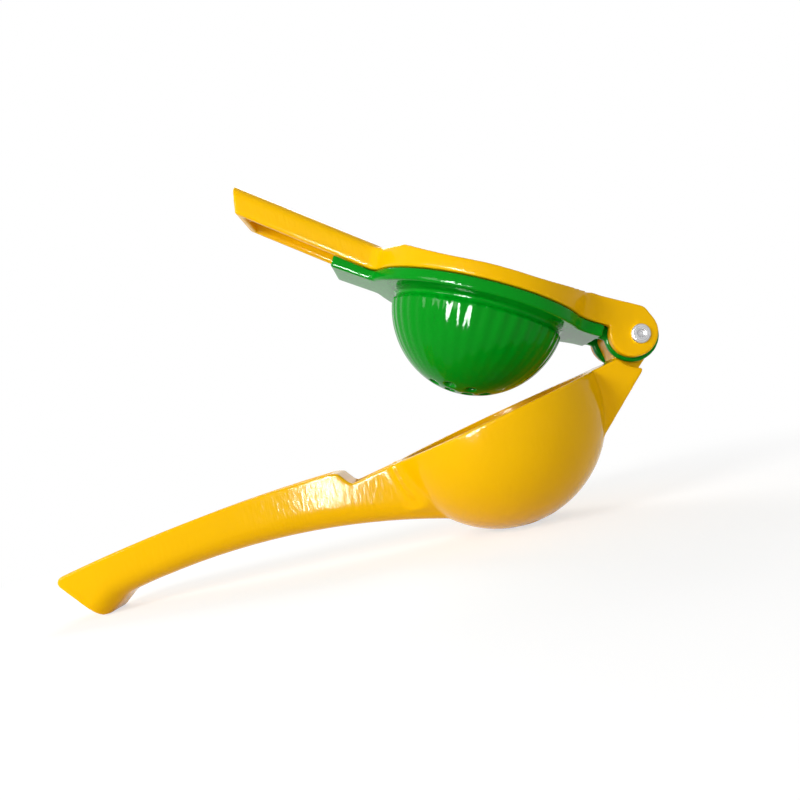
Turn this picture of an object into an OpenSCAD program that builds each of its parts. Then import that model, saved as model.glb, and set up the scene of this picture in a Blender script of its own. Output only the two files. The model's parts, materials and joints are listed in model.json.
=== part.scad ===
// Hinged lemon squeezer, lying open on its bowl and the foot of its long handle.
// Three cast arms turn on one steel rivet: a lemon bowl with a long handle below,
// a lime cup in the middle and a press arm on top, whose dome presses the fruit.
// Each arm is drawn in its own frame: the rivet axis runs along Y through the origin,
// the bowl or cup lies towards -X and the plane of its rim is level.

/* [Hinge] */
// Distance from the rivet axis to the centre of the lemon bowl
bowl_reach = 55.5; // [52:0.5:60]
// Angle between the lemon bowl's rim and the lime cup's rim, as it lies
open_angle = 39; // [10:1:60]
// Width across the outer faces of the press arm's ears
hinge_w = 29; // [27:0.5:32]
// Thickness of each ear of the press arm
press_ear_t = 4.2; // [3.5:0.1:5]
// Thickness of each ear of the lime cup arm
cup_ear_t = 3; // [2.5:0.1:3.6]
// Side clearance between neighbouring ears
ear_gap = 0.25; // [0.15:0.05:0.4]
// Radius of the round end of each ear
ear_r = 8.3; // [7.8:0.1:9]
// How far the centre of that round end lies from the rivet, towards the bowl
ear_set = 2.2; // [1.5:0.1:3]
// Radius of the top corner of the press arm's ears
ear_top_r = 4; // [3:0.1:5]
// How far the lime cup arm's ears stand out past the press arm's
cup_ear_over = 1.1; // [0:0.1:1.4]
// How far the centre of the lime cup arm's ears lies behind the press arm's, towards the rivet
cup_ear_back = 0.6; // [0:0.1:1]
// Radius of the lemon arm's centre knuckle
knuckle_r = 7.5; // [7:0.1:8]
// Distance from the rivet axis to the knuckle's flat face, towards the bowl
knuckle_face = 9; // [8.5:0.1:10]
// Radius of the corner above that face
knuckle_round = 2.5; // [1.5:0.1:3]
// Free space round the turning ears
turn_gap = 0.4; // [0.3:0.1:0.7]
// How far the lime cup's flange stops short of that space
neck_gap = 0.9; // [0.5:0.1:1.2]

/* [Rivet] */
// Diameter of the rivet's shank
rivet_d = 5; // [4:0.1:6]
// Radial running clearance of the shank in its bores
rivet_gap = 0.05; // [0.03:0.01:0.08]
// Diameter of the rivet's heads
head_d = 6.6; // [6.4:0.1:8]
// Height of the rivet's heads
head_h = 1; // [0.7:0.1:1.4]
// Diameter of the rolled dimple in the heads
dimple_d = 3.2; // [2.4:0.1:3.6]
// Diameter of the dimple's flat floor
dimple_floor_d = 1.9; // [1.2:0.1:2.2]
// Depth of the dimple
dimple_h = 0.6; // [0.4:0.1:0.8]
// Radius of the rounded rim of the heads
head_round = 0.7; // [0.5:0.1:0.9]

/* [Lemon bowl] */
// Outer radius of the lemon bowl and of the flanges that close on it
bowl_r = 38.5; // [37:0.5:41]
// Wall thickness of the lemon bowl
bowl_wall = 2.6; // [2:0.1:3.2]
// Height of the straight band under the lemon bowl's rim
bowl_band = 1.5; // [1:0.5:4]

/* [Lime cup] */
// Outer radius of the lime cup
cup_r = 31; // [30:0.5:32]
// Wall thickness of the lime cup
cup_wall = 2.5; // [2:0.1:3]
// Thickness of the lime cup's flange
flange_t = 4; // [3.5:0.1:5]
// How far the cup's and the dome's centre lies from the ring's, towards the rivet
cup_set = 1; // [0:0.25:1.5]
// Depth of the cup's centre below the flange's top
cup_drop = 2.3; // [1.5:0.1:3]
// Height of the plain neck under the flange
neck_h = 2.2; // [1.5:0.1:3]
// How far that neck is drawn in from the fluted cup
neck_inset = 1.1; // [0.6:0.1:1.5]
// Number of flutes round the cup
flute_count = 40; // [24:2:44]
// Width of one flute
flute_w = 3.8; // [3:0.1:4.2]
// Depth of a flute at the top of the cup
flute_depth = 0.4; // [0.3:0.05:0.6]
// Length of the tab under the press arm's handle
tab_len = 13.5; // [11:0.5:15]
// Width of the tab's neck
tab_w = 19; // [17:0.5:20]
// Width of the pad at the end of the tab
pad_w = 22.6; // [21:0.1:23.4]
// Distance from the ring's edge to where the flange's underside bends up to the tab
tab_bend = 7.5; // [5:0.5:9]

/* [Press arm] */
// Outer radius of the press dome
dome_r = 23; // [21:0.5:24]
// Wall thickness of the press dome
dome_wall = 2.5; // [2:0.1:3]
// Thickness of the press arm's ring
ring_t = 4.8; // [4.2:0.1:5.4]
// Height of the press arm's neck and handle
arm_h = 9.1; // [8.5:0.1:10]
// Radius of the hollow sweeps from the ring up to the neck and the handle
sweep_r = 76; // [70:1:85]
// Distance from the ring's centre to the start of the sweep up to the neck
neck_sweep = 11.2; // [9:0.1:14]
// Distance from the ring's centre to the start of the sweep up to the handle
root_sweep = 8.3; // [6:0.1:10]
// Height of the ring's edge beside the root of the handle
crest_h = 7.7; // [7:0.1:8.5]
// Length of the press handle's underside, from the ring
press_len = 49.5; // [44:0.5:56]
// Angle at which the press handle rises from the ring
press_rise = 8.6; // [7:0.1:9.5]
// Corner radius along the top of the press handle
press_round = 3.5; // [2.5:0.1:4]

/* [Handles] */
// Width of both handles
handle_w = 23; // [22:0.5:26]
// Wall thickness of both handles
handle_wall = 2.8; // [2.4:0.1:3.2]
// Lean of the cut ends of both handles
end_angle = 28; // [20:1:32]
// Length of the long handle, from the bowl to its tip
long_len = 123; // [112:1:132]
// Height of the long handle's tip above the rivet axis
tip_h = 9.5; // [8.5:0.5:11]
// Radius of the long handle's top line
top_arch_r = 590; // [550:10:700]
// Distance from the tip back to the highest point of the top line
crest_back = 8; // [5:1:12]
// Radius of the long handle's underside
under_arch_r = 250; // [240:2:270]
// Depth of the long handle at its waist, just before the foot
waist_h = 15; // [14:0.5:17]
// Distance from the tip back to the waist
waist_back = 24; // [22:1:28]
// Corner radius along the underside of the long handle
under_round = 7; // [5:0.5:8]
// Depth of the foot below the long handle's tip
foot_h = 18.8; // [18:0.1:21]
// Radius of the foot's toe
toe_r = 2.2; // [1.5:0.1:3]
// Slope of the foot's back
heel_angle = 26; // [22:1:30]
// Radius of the long handle's top corner at the tip
tip_round = 2.2; // [1:0.1:3]
// Distance from the bowl to the step that stops the tab
step_len = 16.2; // [15.6:0.2:19]
// Lean of the step
step_angle = 27; // [20:1:32]
// Radius of the step's top corner
step_round = 1.6; // [1:0.1:2]
// Radius of the hollow at the foot of the step
pocket_round = 2.2; // [1:0.1:2.6]

/* [Strainer] */
// Diameter of the juice holes
hole_d = 3.4; // [2.8:0.1:3.8]
// Radius of the outer ring of juice holes
outer_holes_r = 9.8; // [9:0.1:11]
// Number of holes in the outer ring
outer_holes = 8; // [6:1:9]
// Radius of the inner ring of juice holes
inner_holes_r = 4.4; // [4:0.1:5]
// Number of holes in the inner ring
inner_holes = 4; // [3:1:4]

/* [Seats] */
// Gap between faces that close on each other
seat_gap = 0.3; // [0.2:0.05:0.5]
// Radius of the blends from the rings to their necks, and from the lemon bowl to its handle
blend_r = 10; // [8:0.5:12]
// Radius of the plan blends from the two rings to the tab and the press handle
root_r = 6; // [5:0.5:8]

/* [Hidden] */
$fn = 96;
long_arc_fn = 720;
arc_steps = 8;
top_steps = 24;
sweep_steps = 16;
yellow = [1.0, 0.74, 0.0];
green = [0.0, 0.55, 0.06];
steel = [0.75, 0.76, 0.78];
over = 1;
// Shapes that blend into each other are sunk this far together
sink = 0.05;

// Heights in each arm's own frame, from the rivet axis
rim_z = -flange_t - seat_gap;
press_z = seat_gap;
arm_top_z = press_z + arm_h;
ring_top_z = press_z + ring_t;

// Places along the arms
edge_x = -bowl_reach - bowl_r;
tip_x = edge_x - long_len;
crest_x = tip_x + crest_back;
waist_x = tip_x + waist_back;
waist_z = tip_h - waist_h;
step_x = edge_x - step_len;
tab_x = edge_x - tab_len;
cup_x = -bowl_reach + cup_set;

// Places across the hinge
outer_y = hinge_w / 2;
press_ear_y = outer_y - press_ear_t;
cup_ear_y = press_ear_y - ear_gap;
cup_slot_y = cup_ear_y - cup_ear_t;
knuckle_y = cup_slot_y - ear_gap;

// The ears sweep this radius, and what lies round them stays outside the next one
cup_ear_r = ear_r + cup_ear_over;
cup_ear_set = ear_set - cup_ear_back;
ear_sweep_r = max(ear_set + ear_r, cup_ear_set + cup_ear_r);
ear_clear_r = ear_sweep_r + turn_gap;
cup_neck_x = -ear_clear_r - neck_gap;
bore_r = rivet_d / 2 + rivet_gap;

// Lower corner of the shoulder behind the ears, and where the knuckle's back leaves its round.
// The shoulder's foot keeps its distance from the bowl's centre, and the knuckle's top leans away
// from its round at knuckle_lean, down to the flat face.
shoulder_back = 4.3;
toe_corner = [-shoulder_back, -ear_clear_r];
back_angle = atan2(toe_corner.y, toe_corner.x) + acos(knuckle_r / norm(toe_corner));
back_point = (knuckle_r - sink) * [cos(back_angle), sin(back_angle)];
shoulder_slope = 34.5;
shoulder_foot = 28.2;
shoulder_run = bowl_reach - shoulder_foot - shoulder_back;
knuckle_lean = 110;

// The foot's toe is round the point that touches both the cut end and the foot's depth
toe_z = tip_h - foot_h + toe_r;
toe_x = end_x(toe_z) + toe_r / cos(end_angle);
heel_dir = [cos(heel_angle), sin(heel_angle)];
heel_out = [sin(heel_angle), -cos(heel_angle)];

// The long handle's section is swept from this angle of its arc, through this turn
long_from = 60;
long_turn = 40;

// Angles below and above the cup's centre between which the flutes are cut
flute_end = 62;
flute_top = 4;

// As it lies, the floor touches the toe and the bowl
bowl_c = [-bowl_reach, rim_z - bowl_band];
toe_c = [toe_x, toe_z];
floor_dir = bowl_c - toe_c;
floor_angle = atan2(floor_dir.y, floor_dir.x) - asin((bowl_r - toe_r) / norm(floor_dir));
rest_tilt = -floor_angle;
rivet_z = bowl_r - bowl_c.x * sin(rest_tilt) - bowl_c.y * cos(rest_tilt);
left_x = tip_x * cos(rest_tilt) - tip_h * sin(rest_tilt);
rivet_x = -(left_x + max(knuckle_r, cup_ear_r - cup_ear_set)) / 2;

// Where the leaning cut end of the long handle lies at height z
function end_x(z) = tip_x + (tip_h - z) * tan(end_angle);

// Where the step's leaning face lies at height z
function step_at(z) = step_x - (z - rim_z) * tan(step_angle);

// Height of the long handle's top line at x
function top_z(x) = tip_h - top_arch_r + sqrt(pow(top_arch_r, 2) - pow(x - crest_x, 2));

// How far from a ring's centre a hollow corner of radius r reaches along a strip of half width half_w
function corner_x(half_w, r) = sqrt(pow(bowl_r + r - sink, 2) - pow(half_w + r - sink, 2));

// Points of the arc of radius r that rounds an outline's corner between the points before and after
function rounded(before, corner, after, r) = let(
    back = (before - corner) / norm(before - corner),
    ahead = (after - corner) / norm(after - corner),
    half = acos(back * ahead) / 2,
    middle = corner + (back + ahead) / norm(back + ahead) * r / sin(half),
    first = corner + back * r / tan(half) - middle,
    last = corner + ahead * r / tan(half) - middle,
    start = atan2(first.y, first.x),
    turn = (atan2(last.y, last.x) - start + 540) % 360 - 180)
    [for (i = [0 : arc_steps]) middle
        + r * [cos(start + turn * i / arc_steps), sin(start + turn * i / arc_steps)]];

echo(rivet_x = rivet_x, rivet_z = rivet_z, rest_tilt = rest_tilt);

// Puts an arm where it lies, turned up by angle from the lemon bowl's rim
module place(angle = 0) {
    translate([rivet_x, 0, rivet_z]) rotate([0, angle - rest_tilt, 0]) children();
}

// Extrudes a side outline, drawn in X and Z, across the given width
module across(width) {
    rotate([90, 0, 0]) linear_extrude(width, center = true) children();
}

// Extrudes a cross-section, drawn in Y and Z, from the origin towards -X
module along(length) {
    translate([-length, 0, 0]) rotate([90, 0, 90]) linear_extrude(length) children();
}

// Round bar along Y
module bar(radius, width) {
    rotate([90, 0, 0]) cylinder(r = radius, h = width, center = true);
}

// Half of a bowl's section: a hemisphere that hangs under a straight band
module bowl_section(radius, band, lift = 0) {
    translate([0, -band]) intersection() {
        circle(radius);
        translate([0, -radius]) square(radius);
    }
    translate([0, -band]) square([radius, band + lift]);
}

// The two rings of juice holes, through the bottom of a bowl
module juice_holes(depth) {
    for (i = [0 : outer_holes - 1]) {
        rotate((i + 0.5) * 360 / outer_holes) translate([outer_holes_r, 0, -depth])
            cylinder(d = hole_d, h = depth);
    }
    for (i = [0 : inner_holes - 1]) {
        rotate((i + 0.5) * 360 / inner_holes) translate([inner_holes_r, 0, -depth])
            cylinder(d = hole_d, h = depth);
    }
}

// Plan of the hollow corners of radius r where a strip of half width half_w meets a ring
module corners(half_w, r) {
    center = [corner_x(half_w, r), half_w + r - sink];
    for (side = [0, 1]) mirror([0, side]) difference() {
        polygon([[0, 0], [center.x, 0], center, center * bowl_r / norm(center)]);
        translate(center) circle(r);
    }
}

// Plan of a flat ring arm: the ring, its neck and the start of its handle
module arm_plan(neck_end, tail_w, tail_end) {
    translate([-bowl_reach, 0]) {
        circle(bowl_r);
        corners(outer_y, blend_r);
        mirror([1, 0]) corners(tail_w / 2, root_r);
    }
    translate([-bowl_reach, -outer_y]) square([bowl_reach + neck_end, hinge_w]);
    translate([tail_end, -tail_w / 2]) square([-bowl_reach - tail_end, tail_w]);
}

// Section of the long handle, drawn outwards from the centre of its underside's curve
module long_section(floor_r, width, corner) {
    flat = width - 2 * corner;
    translate([floor_r, -flat / 2]) square([corner, flat]);
    translate([floor_r + corner, -width / 2]) square([2 * waist_h + corner, width]);
    for (side = [-1, 1]) translate([floor_r + corner, side * flat / 2]) circle(corner);
}

// Sweeps a section of the long handle along the curve of its underside
module long_sweep() {
    translate([waist_x, 0, waist_z - under_arch_r]) rotate([90, 0, 0])
        rotate([0, 0, long_from]) rotate_extrude(angle = long_turn, $fn = long_arc_fn) children();
}

// The foot: the handle's section runs on down the slope of the foot's back
module foot_run() {
    back = toe_c + toe_r * heel_out;
    translate([back.x, 0, back.y]) rotate([0, -heel_angle, 0]) translate([foot_h, 0, 0])
        along(2 * foot_h) rotate(90) long_section(0, handle_w - 4 * sink, under_round);
}

// Side outline of all that the long handle's sections are cut to, from its tip to the bowl
module long_side() {
    low = rim_z - bowl_r;
    step_top = [step_at(top_z(step_x)), top_z(step_x)];
    step_foot = [step_x, rim_z];
    tip = [tip_x, top_z(tip_x)];
    first = tip_x + 2 * tip_round;
    last = step_top.x - 2 * step_round;
    top_line = [for (i = [0 : top_steps]) let(x = first + (last - first) * i / top_steps) [x, top_z(x)]];
    back = toe_c + (toe_r - sink) * heel_out;
    lean = [sin(end_angle), -cos(end_angle)];
    front = toe_c - toe_r * [cos(end_angle), sin(end_angle)];
    toe = front + lean * cross(back - front, heel_dir) / cross(lean, heel_dir);
    heel = back + 2 * toe_r * heel_dir;
    polygon(concat(
        rounded(toe, tip, top_line[0], tip_round),
        top_line,
        rounded(top_line[top_steps], step_top, step_foot, step_round),
        rounded(step_top, step_foot, [-bowl_reach, rim_z], pocket_round),
        [[-bowl_reach, rim_z], [-bowl_reach, low], [heel.x, low], heel],
        rounded(heel, toe, tip, toe_r)));
}

// Side outline of the long handle's channel and of the pocket between the step and the bowl
module channel_side() {
    high = tip_h + over;
    low = rim_z - bowl_r;
    end_in = handle_wall / cos(end_angle);
    step_in = handle_wall / cos(step_angle);
    polygon([[end_x(high) + end_in, high], [step_at(high) - step_in, high],
        [step_at(low) - step_in, low], [end_x(low) + end_in, low]]);
    translate([step_x, low]) square([-bowl_reach - step_x, rim_z + over - low]);
}

// Fills the hollow corners where the long handle's flanks run into the bowl
module bowl_corners() {
    center_y = handle_w / 2 + blend_r;
    flare_w = 2 * center_y * bowl_r / (bowl_r + blend_r);
    intersection() {
        translate([bowl_c.x, 0, bowl_c.y]) rotate([90, 0, 0]) rotate_extrude()
            corners(handle_w / 2, blend_r);
        long_sweep() long_section(under_arch_r + sink, flare_w, flare_w / 2 - over);
        translate([step_x, -bowl_r, rim_z - sink - bowl_r]) cube([bowl_r, 2 * bowl_r, bowl_r]);
    }
}

// The long handle's shell: a channel that opens upwards, a rib at the step and a foot
module long_handle() {
    difference() {
        union() {
            intersection() {
                union() {
                    long_sweep() long_section(under_arch_r, handle_w, under_round);
                    foot_run();
                }
                across(handle_w + over) long_side();
            }
            bowl_corners();
        }
        difference() {
            intersection() {
                long_sweep() long_section(under_arch_r + handle_wall,
                    handle_w - 2 * handle_wall, under_round - handle_wall);
                across(handle_w) channel_side();
            }
            bowl_solid();
        }
    }
}

// The lemon bowl, not yet hollowed
module bowl_solid() {
    translate([-bowl_reach, 0, rim_z]) rotate_extrude() bowl_section(bowl_r, bowl_band);
}

// Side outline of the shoulder that carries the knuckle
module shoulder_side() {
    foot = toe_corner - shoulder_run * [1, tan(shoulder_slope)];
    inside_x = foot.x - 2 * bowl_wall;
    polygon([[inside_x, rim_z], [toe_corner.x, rim_z], toe_corner, foot, [inside_x, foot.y]]);
}

// Side outline of the centre knuckle: round over the rivet, with a flat face down to the shoulder
module knuckle_side() {
    top = (knuckle_r - sink) * [cos(knuckle_lean), sin(knuckle_lean)];
    corner = [-knuckle_face, top.y + (knuckle_face + top.x) / tan(knuckle_lean)];
    face_foot = [-knuckle_face, rim_z];
    circle(knuckle_r);
    polygon(concat([[0, 0], back_point, toe_corner, [2 * toe_corner.x, toe_corner.y],
        [-ear_clear_r - over, rim_z], face_foot],
        rounded(face_foot, corner, top, knuckle_round), [top]));
}

module lemon_bowl_arm() {
    color(yellow) place() difference() {
        union() {
            long_handle();
            bowl_solid();
            difference() {
                across(hinge_w) shoulder_side();
                bar(ear_clear_r, hinge_w + over);
            }
            across(2 * knuckle_y) knuckle_side();
        }
        translate([-bowl_reach, 0, rim_z]) {
            rotate_extrude() bowl_section(bowl_r - bowl_wall, bowl_band, over);
            juice_holes(bowl_r + bowl_band + over);
        }
        bar(bore_r, hinge_w);
    }
}

// One flute's cutter down the side of the cup, from above the rim to near the bottom
module flute() {
    cutter_r = flute_w * flute_w / (8 * flute_depth);
    translate([0, 0, -flute_depth]) rotate([90, 0, 0]) rotate([0, 0, -flute_end])
        rotate_extrude(angle = flute_end + flute_top)
            translate([cup_r + cutter_r - flute_depth, 0]) circle(cutter_r);
}

// Outside of the lime cup below the flange: a drawn-in neck, a ridge and the fluted bowl
module cup_outside() {
    ridge_z = -flange_t - neck_h;
    neck_r = sqrt(cup_r * cup_r - pow(ridge_z + cup_drop, 2)) - neck_inset;
    translate([0, 0, ridge_z]) cylinder(r = neck_r, h = neck_h + over);
    translate([0, 0, -cup_drop]) difference() {
        sphere(cup_r);
        translate([-cup_r, -cup_r, ridge_z + cup_drop]) cube(2 * cup_r);
        for (i = [0 : flute_count - 1]) rotate(i * 360 / flute_count) flute();
    }
}

// Side outline of the lime cup arm's flange and of the tab, which rises as the press handle does
module cup_side() {
    rise = tab_len * tan(press_rise);
    polygon([[tab_x, rise], [tab_x, rise - flange_t], [edge_x + tab_bend, -flange_t],
        [cup_neck_x + over, -flange_t], [cup_neck_x + over, 0], [edge_x, 0]]);
}

// Side outline of the pad, up to where the ring's edge crosses its flank
module pad_side() {
    pad_end = -bowl_reach - sqrt(pow(bowl_r, 2) - pow(pad_w / 2, 2)) - seat_gap;
    intersection() {
        cup_side();
        translate([tab_x - over, -tab_len]) square([pad_end - tab_x + over, 2 * tab_len]);
    }
}

// Side outline of the lime cup arm's ears
module cup_ear_side() {
    translate([-cup_ear_set, 0]) circle(cup_ear_r);
    translate([cup_neck_x - over, -flange_t]) square([-cup_neck_x + over - cup_ear_set, flange_t]);
}

module lime_cup_arm() {
    color(green) place(open_angle) difference() {
        union() {
            intersection() {
                across(2 * bowl_r + over) cup_side();
                translate([0, 0, -2 * flange_t]) linear_extrude(4 * flange_t)
                    arm_plan(cup_neck_x, tab_w, tab_x);
            }
            across(pad_w) pad_side();
            translate([cup_x, 0, 0]) cup_outside();
            difference() {
                across(2 * cup_ear_y) cup_ear_side();
                translate([cup_neck_x, -cup_slot_y, -ear_sweep_r])
                    cube([2 * ear_clear_r, 2 * cup_slot_y, 2 * ear_sweep_r]);
            }
        }
        translate([cup_x, 0, 0]) {
            rotate_extrude() bowl_section(cup_r - cup_wall, cup_drop, over);
            juice_holes(cup_r + cup_drop + over);
        }
        bar(bore_r, hinge_w);
    }
}

// How far a hollow sweep turns on its way up from the ring to height h
function sweep_turn(h) = acos(1 - (h - ring_t) / sweep_r);

// The point a hollow sweep from x reaches after the given turn, towards +X or -X
function sweep_point(x, side, turn) =
    [x + side * sweep_r * sin(turn), ring_top_z + sweep_r * (1 - cos(turn))];

// Points of the sweep up to the handle's root, to height h
function root_points(h) = [for (i = [0 : sweep_steps])
    sweep_point(-bowl_reach - root_sweep, -1, sweep_turn(h) * i / sweep_steps)];

// Side outline of the press arm's ring, neck and ears, with both hollow sweeps
module press_side() {
    tail_x = -bowl_reach - corner_x(handle_w / 2, root_r);
    ear_c = [-ear_set, 0];
    top_c = [-ear_set, arm_top_z - ear_top_r];
    flat_angle = 90 - acos((ear_r - ear_top_r) / top_c.y);
    flat_out = [cos(flat_angle), sin(flat_angle)];
    polygon(concat(
        [[tail_x, press_z + (edge_x - tail_x) * tan(press_rise)], [edge_x, press_z]],
        [[-ear_set, press_z], ear_c, ear_c + (ear_r - sink) * flat_out],
        [top_c + (ear_top_r - sink) * flat_out, top_c, [-ear_set, arm_top_z]],
        [for (i = [sweep_steps : -1 : 0])
            sweep_point(-bowl_reach + neck_sweep, 1, sweep_turn(arm_h) * i / sweep_steps)],
        root_points(crest_h),
        [[tail_x, press_z + crest_h]]));
    translate(top_c) circle(ear_top_r);
    translate(ear_c) circle(ear_r);
}

// Section of the press handle: rounded along its top edges
module press_section(width, height, corner) {
    flat = width - 2 * corner;
    translate([-width / 2, -over]) square([width, height - corner + over]);
    translate([-flat / 2, 0]) square([flat, height]);
    for (side = [-1, 1]) translate([side * flat / 2, height - corner]) circle(corner);
}

// Side outline of the press handle between its underside and its leaning end
module press_handle_side(wall) {
    lean = tan(end_angle);
    end = press_len / cos(press_rise) - wall / cos(end_angle);
    polygon([[0, 0], [-end, 0], [-end - arm_h * lean, arm_h], [0, arm_h]]);
}

// The press handle's root: it runs level into the ring, under the hollow sweep
module press_root() {
    start_x = -bowl_reach - root_sweep;
    intersection() {
        translate([start_x, 0, press_z]) along(start_x - edge_x)
            press_section(handle_w - 2 * sink, arm_h * cos(press_rise), press_round);
        across(handle_w) polygon(concat([[edge_x - over, press_z + sink], [start_x, press_z + sink]],
            root_points(arm_h), [[edge_x - over, arm_top_z + over]]));
    }
}

// The press handle: a channel that opens downwards, closed at its end
module press_handle() {
    whole = press_len + arm_h;
    root = root_r;
    start = corner_x(handle_w / 2, root_r) - bowl_r + over;
    end = press_len / cos(press_rise) - handle_wall / cos(end_angle);
    translate([edge_x, 0, press_z]) rotate([0, press_rise, 0]) difference() {
        intersection() {
            translate([root, 0, 0]) along(whole + root)
                press_section(handle_w, arm_h * cos(press_rise), press_round);
            across(handle_w + over) union() {
                press_handle_side(0);
                polygon([[-over, 0], [0, 0], [root, root * tan(press_rise)], [root, arm_h],
                    [-over, arm_h]]);
            }
        }
        intersection() {
            translate([-start, 0, 0]) along(whole)
                press_section(handle_w - 2 * handle_wall, arm_h - handle_wall,
                    press_round - handle_wall / 2);
            across(handle_w) union() {
                press_handle_side(handle_wall);
                translate([-end, -over]) square([end, 2 * over]);
            }
        }
    }
}

module press_arm() {
    color(yellow) place(open_angle) difference() {
        union() {
            intersection() {
                across(2 * bowl_r) press_side();
                translate([0, 0, -ear_sweep_r]) linear_extrude(2 * ear_sweep_r + arm_h)
                    arm_plan(ear_clear_r, handle_w, -bowl_reach - corner_x(handle_w / 2, root_r));
            }
            press_root();
            press_handle();
            translate([cup_x, 0, press_z]) rotate_extrude() bowl_section(dome_r, cup_drop, over);
        }
        translate([cup_x, 0, press_z]) rotate_extrude()
            bowl_section(dome_r - dome_wall, cup_drop, arm_h);
        bar(ear_clear_r, 2 * press_ear_y);
        bar(bore_r, hinge_w + over);
    }
}

module hinge_rivet() {
    color(steel) place(open_angle) difference() {
        union() {
            bar(rivet_d / 2, hinge_w);
            for (side = [-1, 1]) rotate([-90 * side, 0, 0]) translate([0, 0, outer_y])
                rivet_head();
        }
        for (side = [-1, 1]) rotate([-90 * side, 0, 0])
            translate([0, 0, outer_y + head_h - dimple_h])
                cylinder(d1 = dimple_floor_d, d2 = dimple_d, h = dimple_h + sink);
    }
}

// A low head with a rounded rim
module rivet_head() {
    cylinder(d = head_d, h = head_h - head_round);
    cylinder(d = head_d - 2 * head_round, h = head_h);
    translate([0, 0, head_h - head_round]) rotate_extrude() intersection() {
        translate([head_d / 2 - head_round, 0]) circle(head_round);
        square([head_d, head_round]);
    }
}

lemon_bowl_arm();
lime_cup_arm();
press_arm();
hinge_rivet();
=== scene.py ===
"""Hinged lemon squeezer, lying open: glossy enamel on a pale floor, seen along the rivet."""
import json
from math import cos, radians, sin

import bpy
from mathutils import Matrix, Vector

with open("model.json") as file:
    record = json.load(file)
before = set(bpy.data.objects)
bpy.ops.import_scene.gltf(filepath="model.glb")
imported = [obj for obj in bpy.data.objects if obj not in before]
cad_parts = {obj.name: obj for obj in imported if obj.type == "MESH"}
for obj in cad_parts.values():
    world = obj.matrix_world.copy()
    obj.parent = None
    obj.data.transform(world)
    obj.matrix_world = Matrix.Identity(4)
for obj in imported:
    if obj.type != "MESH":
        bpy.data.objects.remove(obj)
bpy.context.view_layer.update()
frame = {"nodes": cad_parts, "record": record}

RIVET = Vector(frame["record"]["behaviour"]["joints"][0]["pos_m"])

# --- Nodes, for skins, materials and the world ---


def fill(tree, socket, value):
    """Links an output to the socket, or sets the socket's own value."""
    if isinstance(value, bpy.types.NodeSocket):
        tree.links.new(value, socket)
    else:
        socket.default_value = value


def add_node(tree, kind, values=(), **settings):
    """A new node. Values go to its inputs, by name or number, once its settings are made."""
    node = tree.nodes.new(kind)
    for name, setting in settings.items():
        setattr(node, name, setting)
    for key, value in dict(values).items():
        fill(tree, node.inputs[key], value)
    return node


# --- The camera: it looks along the rivet, from close by, and leans with the photograph ---

PHOTO_SIDE = 800
SENSOR_WIDTH = 36.0
NEAREST_SEEN = 0.01
# Pixels per metre at the tool's middle plane, and the camera's distance to that plane
PX_PER_M = 2800.0
CAMERA_DISTANCE = 0.250
# Where the view along the rivet meets the picture, and the rivet's place in it, in pixels
LEVEL_POINT = (424.0, 429.5)
RIVET_PX = (628.2, 339.1)
# The picture shows the floor's line rising to the right by this much
CAMERA_ROLL = radians(11.813)
RIGHT = Vector((cos(CAMERA_ROLL), 0.0, -sin(CAMERA_ROLL)))
UP = Vector((sin(CAMERA_ROLL), 0.0, cos(CAMERA_ROLL)))


def in_plane(px, py, y=0.0):
    """The point in the middle plane that shows at a pixel, moved to the given y."""
    aside = (px - RIVET_PX[0]) / PX_PER_M
    above = (RIVET_PX[1] - py) / PX_PER_M
    point = RIVET + aside * RIGHT + above * UP
    point.y = y
    return point


LEVEL = in_plane(*LEVEL_POINT)


def seen_at(px, py, y):
    """The point at the given y that shows at a pixel, moved to the middle plane."""
    share = (CAMERA_DISTANCE + y) / CAMERA_DISTANCE
    flat = LEVEL + share * (in_plane(px, py) - LEVEL)
    return Vector((flat.x, 0.0, flat.z))


def add_camera():
    """The camera stands on the near side and is turned about its own axis by the picture's lean."""
    data = bpy.data.cameras.new("camera")
    data.sensor_width = SENSOR_WIDTH
    data.lens = SENSOR_WIDTH * PX_PER_M * CAMERA_DISTANCE / PHOTO_SIDE
    data.shift_x = (PHOTO_SIDE / 2 - LEVEL_POINT[0]) / PHOTO_SIDE
    data.shift_y = (LEVEL_POINT[1] - PHOTO_SIDE / 2) / PHOTO_SIDE
    data.clip_start = NEAREST_SEEN
    camera = bpy.data.objects.new("camera", data)
    bpy.context.collection.objects.link(camera)
    turn = Matrix((RIGHT, UP, Vector((0.0, -1.0, 0.0)))).transposed().to_4x4()
    camera.matrix_world = Matrix.Translation(in_plane(*LEVEL_POINT, -CAMERA_DISTANCE)) @ turn
    bpy.context.scene.camera = camera


add_camera()

# --- The castings' soft edges: modifiers alone, so the CAD meshes stay as they are ---

VOXEL = 0.00045
# Rounds of smoothing over the whole skin, and near a crease that the real casting blends away
EDGE_ROUNDS = 5
CREASE_ROUNDS = 60
# How strongly each round moves a point towards its neighbours
SMOOTH_WEIGHT = 0.5
# The crease where the long handle's foot begins: it is blended fully up to the first distance,
# and less and less up to the second
HEEL_PX = (144.0, 583.5)
HEEL_REACH = (0.004, 0.013)
# The crease where the press arm's handle meets its ring, in the same way
CREST_PX = (398.0, 247.0)
CREST_REACH = (0.002, 0.007)
# A low seam where the long handle meets the bowl: three points on it, as the near side shows them
# at this y, half its width, its height, and how far from its middle point it fades out
SEAM_PX = ((392.0, 465.0), (401.0, 483.0), (416.0, 500.3))
SEAM_Y = -0.012
SEAM_HALF = 0.0012
SEAM_HEIGHT = 0.00060
SEAM_REACH = (0.005, 0.008)


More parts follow.
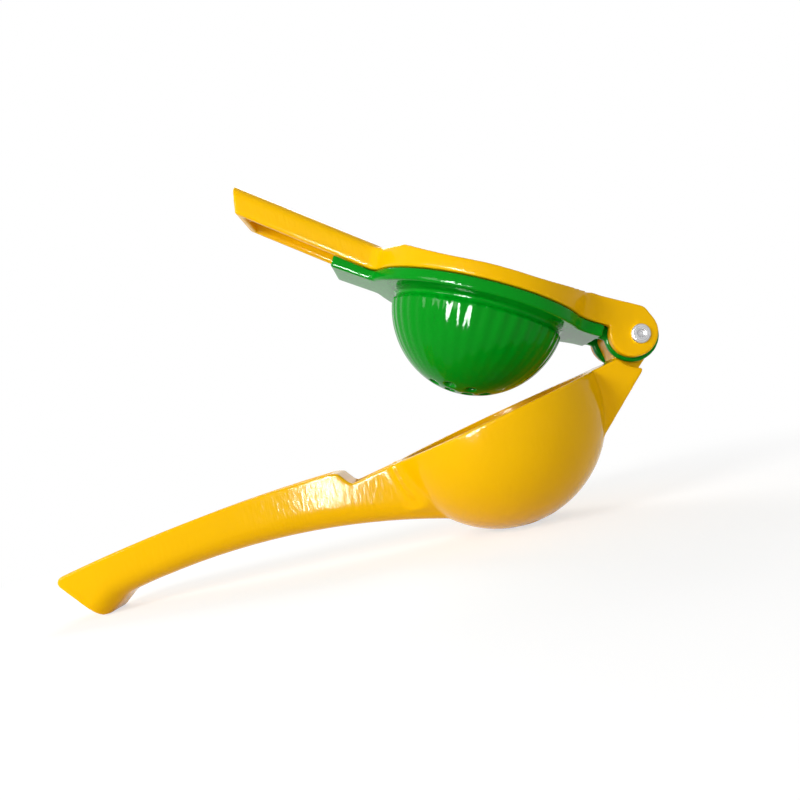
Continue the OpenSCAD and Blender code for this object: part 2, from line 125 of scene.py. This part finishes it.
def circle_through(a, b, c):
    """Centre and radius of the circle in the XZ plane through three points."""
    ab, ac = b - a, c - a
    cross = 2 * (ab.x * ac.z - ab.z * ac.x)
    x = (ac.z * ab.length_squared - ab.z * ac.length_squared) / cross
    z = (ab.x * ac.length_squared - ac.x * ab.length_squared) / cross
    return a + Vector((x, 0.0, z)), Vector((x, 0.0, z)).length


class Skin:
    """A node group that works on a dense mesh's points, one step after another."""

    def __init__(self, name):
        self.tree = bpy.data.node_groups.new(name, "GeometryNodeTree")
        for way in ("INPUT", "OUTPUT"):
            self.tree.interface.new_socket("Geometry", in_out=way, socket_type="NodeSocketGeometry")
        self.last = self.add("NodeGroupInput").outputs[0]
        self.place = self.add("GeometryNodeInputPosition").outputs[0]

    def add(self, kind, values=(), **settings):
        return add_node(self.tree, kind, values, **settings)

    def math(self, operation, *values):
        return self.add("ShaderNodeMath", enumerate(values), operation=operation).outputs[0]

    def vector_math(self, operation, values):
        return self.add("ShaderNodeVectorMath", values, operation=operation)

    def distance(self, point):
        """How far each point lies from the line along Y through the given point."""
        flat = self.vector_math("MULTIPLY", {0: self.place, 1: (1, 0, 1)})
        away = self.vector_math("DISTANCE", {0: flat.outputs[0], 1: point})
        return away.outputs["Value"]

    def near(self, distance, reach, top):
        """top within the first distance of reach, falling smoothly to 0 at the second."""
        full, none = reach
        values = {"Value": distance, "From Min": full, "From Max": none,
                  "To Min": top, "To Max": 0.0}
        return self.add("ShaderNodeMapRange", values, interpolation_type="SMOOTHSTEP").outputs[0]

    def put(self, socket, value):
        """Sets the points' Position, or moves them by an Offset."""
        node = self.add("GeometryNodeSetPosition", {"Geometry": self.last, socket: value})
        self.last = node.outputs[0]

    def smooth(self, rounds, weight=SMOOTH_WEIGHT):
        values = {"Iterations": rounds, "Weight": weight}
        node = self.add("GeometryNodeBlurAttribute", values, data_type="FLOAT_VECTOR")
        blurred = next(s for s in node.inputs if s.enabled and s.name == "Value")
        fill(self.tree, blurred, self.place)
        self.put("Position", next(s for s in node.outputs if s.enabled))

    def blend_crease(self, pixel, reach):
        near_crease = self.near(self.distance(in_plane(*pixel)), reach, SMOOTH_WEIGHT)
        self.smooth(CREASE_ROUNDS, near_crease)

    def raise_seam(self, points):
        """Lifts a low ridge along the circle through three points, around the middle one."""
        centre, radius = circle_through(*points)
        off = self.math("ABSOLUTE", self.math("SUBTRACT", self.distance(centre), radius))
        height = self.math("MULTIPLY", self.near(off, (0.0, SEAM_HALF), SEAM_HEIGHT),
                           self.near(self.distance(points[1]), SEAM_REACH, 1.0))
        normal = self.add("GeometryNodeInputNormal").outputs[0]
        self.put("Offset", self.vector_math("SCALE", {0: normal, "Scale": height}).outputs[0])

    def finish(self):
        fill(self.tree, self.add("NodeGroupOutput").inputs[0], self.last)
        return self.tree


def cast_skin(name, skin):
    """Shows a node's faces as a fine even skin, and softens its edges as a casting's are."""
    o = frame["nodes"][name]
    remesh = o.modifiers.new("even_skin", "REMESH")
    remesh.mode = "VOXEL"
    remesh.voxel_size = VOXEL
    remesh.use_smooth_shade = True
    o.modifiers.new("soft_edges", "NODES").node_group = skin.finish()


lemon, cup, press = Skin("lemon_skin"), Skin("cup_skin"), Skin("press_skin")
for skin in (lemon, cup, press):
    skin.smooth(EDGE_ROUNDS)
lemon.blend_crease(HEEL_PX, HEEL_REACH)
lemon.raise_seam([seen_at(*pixel, SEAM_Y) for pixel in SEAM_PX])
press.blend_crease(CREST_PX, CREST_REACH)
cast_skin("lemon_bowl_arm", lemon)
cast_skin("lime_cup_arm", cup)
cast_skin("press_arm", press)

# --- Materials. Noise scales are per metre ---

# Enamel reflects weakly where it is seen square on
ENAMEL_SHADER = {"IOR": 1.45, "Specular IOR Level": 0.08}
# A slow drift from the shade to the colour, between these two values of the noise
DRIFT = {"Scale": 26.0, "Detail": 3.0}
DRIFT_ENDS = (0.3, 0.65)
# Grain in the gloss, between these two values of the noise
GRAIN = {"Scale": 330.0, "Detail": 2.0}
GRAIN_ENDS = (0.3, 0.7)
# The ripples' noise takes its scale from their stretch. They lean by this much from the upright
RIPPLES = {"Scale": 1.0, "Detail": 1.0}
RIPPLE_LEAN = radians(-12.0)
RIPPLE_DEPTH = 0.0005

# Rings left in the rivet by the rolling tool, and the steel's grain
ROLLED_RINGS = {"Scale": 520.0, "Distortion": 1.6, "Detail": 2.0, "Detail Scale": 3.0}
STEEL_GRAIN = {"Scale": 900.0}
STEEL_DARK = (0.34, 0.34, 0.345)
STEEL_PALE = (0.56, 0.56, 0.565)
STEEL_ROUGH = (0.2, 0.42)
RING_STRENGTH = 0.25
RING_DEPTH = 0.0002


def new_material(name, shader_values):
    mat = bpy.data.materials.new(name)
    mat.use_nodes = True
    shader = mat.node_tree.nodes["Principled BSDF"]
    for key, value in shader_values.items():
        shader.inputs[key].default_value = value
    return mat, shader


def noise(tree, place, values):
    return add_node(tree, "ShaderNodeTexNoise", {"Vector": place, **values}).outputs["Fac"]


def ramp(tree, factor, low, high, ends=(0.0, 1.0)):
    """The colour low up to the first of ends, turning into high at the second."""
    node = add_node(tree, "ShaderNodeValToRGB", {"Fac": factor})
    for element, position, colour in zip(node.color_ramp.elements, ends, (low, high)):
        element.position = position
        element.color = (*colour, 1)
    return node.outputs["Color"]


def gloss(tree, factor, rough, ends=(0.0, 1.0)):
    """A roughness that runs from one value of rough to the other as factor goes through ends."""
    values = {"Value": factor, "From Min": ends[0], "From Max": ends[1],
              "To Min": rough[0], "To Max": rough[1]}
    return add_node(tree, "ShaderNodeMapRange", values).outputs[0]


def bump(tree, height, strength, depth):
    values = {"Height": height, "Strength": strength, "Distance": depth}
    return add_node(tree, "ShaderNodeBump", values).outputs["Normal"]


def dress(tree, shader, colour, roughness, normal):
    for socket, value in (("Base Color", colour), ("Roughness", roughness), ("Normal", normal)):
        fill(tree, shader.inputs[socket], value)


def enamel(name, colour, shade, rough, ripple, stretch):
    """Glossy enamel on a casting: a slow drift of tone, and ripples that break up highlights."""
    mat, shader = new_material(name, ENAMEL_SHADER)
    tree = mat.node_tree
    where = add_node(tree, "ShaderNodeTexCoord").outputs["Object"]
    lean = {"Vector": where, "Rotation": (0.0, RIPPLE_LEAN, 0.0), "Scale": stretch}
    leaning = add_node(tree, "ShaderNodeMapping", lean).outputs[0]
    dress(tree, shader,
          ramp(tree, noise(tree, where, DRIFT), shade, colour, DRIFT_ENDS),
          gloss(tree, noise(tree, where, GRAIN), rough, GRAIN_ENDS),
          bump(tree, noise(tree, leaning, RIPPLES), ripple, RIPPLE_DEPTH))
    return mat


def rolled_steel(name):
    """Rivet steel, worked round and round by the rolling tool."""
    mat, shader = new_material(name, {"Metallic": 1.0})
    tree = mat.node_tree
    where = add_node(tree, "ShaderNodeTexCoord").outputs["Object"]
    centred = add_node(tree, "ShaderNodeVectorMath", {0: where, 1: RIVET}, operation="SUBTRACT")
    rings = add_node(tree, "ShaderNodeTexWave", {"Vector": centred.outputs[0], **ROLLED_RINGS},
                     wave_type="RINGS", rings_direction="Y").outputs["Fac"]
    dress(tree, shader,
          ramp(tree, noise(tree, where, STEEL_GRAIN), STEEL_DARK, STEEL_PALE),
          gloss(tree, rings, STEEL_ROUGH),
          bump(tree, rings, RING_STRENGTH, RING_DEPTH))
    return mat


YELLOW = enamel("yellow_enamel", colour=(0.93, 0.51, 0.0), shade=(0.89, 0.475, 0.0),
                rough=(0.11, 0.17), ripple=0.20, stretch=(760.0, 340.0, 230.0))
GREEN = enamel("green_enamel", colour=(0.0, 0.30, 0.010), shade=(0.0, 0.26, 0.008),
               rough=(0.07, 0.12), ripple=0.05, stretch=(400.0, 400.0, 150.0))
STEEL = rolled_steel("rivet_steel")
FINISHES = {"lemon_bowl_arm": YELLOW, "lime_cup_arm": GREEN, "press_arm": YELLOW,
            "hinge_rivet": STEEL}
for name, mat in FINISHES.items():
    slots = frame["nodes"][name].data.materials
    slots.clear()
    slots.append(mat)

# --- Floor and light ---

WHITE = (1, 1, 1, 1)
# How strongly the white world lights the tool
WORLD_LEVEL = 0.36
FLOOR_HALF = 4.0
# The floor's paper, as it lights the tool from below
PAPER = 0.8
# Seen directly, the floor is this much plain white, and the rest is paper that takes the shadow
FLOOR_GLOW = 0.66
PAPER_SEEN = 0.42
# The shadow fades into plain white between these distances from the floor's middle
FADE = (0.13, 0.30)
# What a lamp shines at unless it has a target of its own: the tool's middle
TOOL_MIDDLE = (0.0, 0.0, 0.05)


def seen_directly(tree):
    """A factor that is 1 where the camera, a mirror or glass sees the surface."""
    path = add_node(tree, "ShaderNodeLightPath")
    total = path.outputs["Is Camera Ray"]
    for other in ("Is Glossy Ray", "Is Transmission Ray"):
        rays = {0: total, 1: path.outputs[other]}
        total = add_node(tree, "ShaderNodeMath", rays, operation="MAXIMUM").outputs[0]
    return total


def mixed(tree, factor, first, second):
    """The first shader where factor is 0, and the second where it is 1."""
    return add_node(tree, "ShaderNodeMixShader", {0: factor, 1: first, 2: second}).outputs[0]


def white_world(level):
    """A world that lights at this level, and is plain white where it is seen directly."""
    world = bpy.data.worlds.new("studio")
    bpy.context.scene.world = world
    world.use_nodes = True
    tree = world.node_tree
    dim = tree.nodes["Background"]
    dim.inputs["Color"].default_value = WHITE
    dim.inputs["Strength"].default_value = level
    white = add_node(tree, "ShaderNodeBackground", {"Color": WHITE})
    shown = mixed(tree, seen_directly(tree), dim.outputs[0], white.outputs[0])
    fill(tree, tree.nodes["World Output"].inputs["Surface"], shown)


def floor_paper():
    """Paper that lights the tool from below, and shows as white with the tool's shadow on it."""
    mat = bpy.data.materials.new("floor_paper")
    mat.use_nodes = True
    tree = mat.node_tree
    tree.nodes.clear()

    def paper(grey):
        return add_node(tree, "ShaderNodeBsdfDiffuse", {"Color": (grey, grey, grey, 1)}).outputs[0]

    def glow(strength):
        return add_node(tree, "ShaderNodeEmission", {"Strength": strength}).outputs[0]

    shadowed = add_node(tree, "ShaderNodeAddShader", {0: paper(PAPER_SEEN), 1: glow(FLOOR_GLOW)})
    where = add_node(tree, "ShaderNodeTexCoord").outputs["Object"]
    length = add_node(tree, "ShaderNodeVectorMath", {0: where}, operation="LENGTH")
    distances = {"Value": length.outputs["Value"], "From Min": FADE[0], "From Max": FADE[1]}
    fade = add_node(tree, "ShaderNodeMapRange", distances, interpolation_type="SMOOTHSTEP")
    seen = mixed(tree, fade.outputs[0], shadowed.outputs[0], glow(1.0))
    shown = mixed(tree, seen_directly(tree), paper(PAPER), seen)
    add_node(tree, "ShaderNodeOutputMaterial", {"Surface": shown})
    return mat


def add_floor():
    mesh = bpy.data.meshes.new("floor")
    h = FLOOR_HALF
    mesh.from_pydata([(-h, -h, 0), (h, -h, 0), (h, h, 0), (-h, h, 0)], [], [(0, 1, 2, 3)])
    floor = bpy.data.objects.new("floor", mesh)
    bpy.context.collection.objects.link(floor)
    mesh.materials.append(floor_paper())


def lamp(name, size, power, place, target=TOOL_MIDDLE, shows=True, lights=True):
    """A rectangular lamp. shows=False keeps it out of reflections, and lights=False to them."""
    data = bpy.data.lights.new(name, "AREA")
    data.shape = "RECTANGLE"
    data.size, data.size_y = size
    data.energy = power
    o = bpy.data.objects.new(name, data)
    bpy.context.collection.objects.link(o)
    aim = Vector(target) - Vector(place)
    o.matrix_world = Matrix.Translation(place) @ aim.to_track_quat("-Z", "Y").to_matrix().to_4x4()
    o.visible_camera = False
    o.visible_glossy = shows
    o.visible_diffuse = lights


white_world(WORLD_LEVEL)
add_floor()
lamp("key", size=(0.30, 0.30), power=4.6, place=(-0.60, -0.52, 0.33))
lamp("front", size=(0.40, 0.40), power=1.1, place=(-0.10, -0.80, 0.30), shows=False)
lamp("back", size=(0.40, 0.40), power=2.6, place=(-0.10, 0.60, 0.55))
# The window's glints, on the green cup and on the long handle
lamp("window", size=(0.034, 0.085), power=1.9, place=(-0.030, -0.152, 0.078),
     target=(0.040, -0.03, 0.078), lights=False)
lamp("low_window", size=(0.024, 0.022), power=0.32, place=(-0.033, -0.152, 0.022),
     target=(-0.008, -0.012, 0.026), lights=False)

bpy.context.scene.view_settings.view_transform = "Standard"
